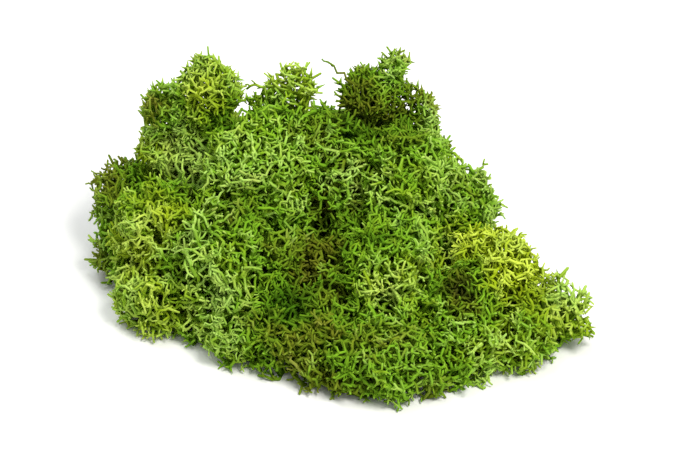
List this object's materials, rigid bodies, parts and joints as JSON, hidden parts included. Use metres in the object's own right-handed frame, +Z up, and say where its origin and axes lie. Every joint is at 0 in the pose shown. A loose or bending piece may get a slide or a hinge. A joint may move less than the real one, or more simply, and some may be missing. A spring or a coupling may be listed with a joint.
{
  "type": "reindeer lichen clump",
  "caption": "Heap of springy, finely branched lichen cushions with upright crowns at the back, sloping down to low front tufts, cut off flat below to rest on a surface.",
  "frame": {"origin": "middle of the clump's box, on the flat cut base", "axes": "+Z up from the base, +X along the clump's length towards the loose spray, +Y from the low front towards the tall crowns at the back"},
  "size_m": [0.1712, 0.129, 0.0773],
  "materials": {
    "bright_green_lichen": "matte",
    "yellow_green_lichen": "matte",
    "lime_lichen": "matte",
    "olive_lichen": "matte",
    "dull_green_lichen": "matte",
    "brownish_lichen": "matte"
  },
  "bodies": {
    "root": {"crown_left": "yellow_green_lichen", "crown_middle": "bright_green_lichen", "crown_right": "olive_lichen", "slope_middle": "bright_green_lichen", "slope_left_upper": "bright_green_lichen", "slope_left_lower": "bright_green_lichen", "side_left": "yellow_green_lichen", "side_left_back": "olive_lichen", "slope_right_upper": "bright_green_lichen", "slope_right_middle": "bright_green_lichen", "recess_middle": "brownish_lichen", "cushion_right": "lime_lichen", "cushion_right_low": "bright_green_lichen", "spray_right": "bright_green_lichen", "skirt_left": "dull_green_lichen", "skirt_right": "dull_green_lichen", "foot_back_left": "olive_lichen", "foot_back_middle": "olive_lichen", "foot_back_right": "olive_lichen"}
  },
  "joints": []
}
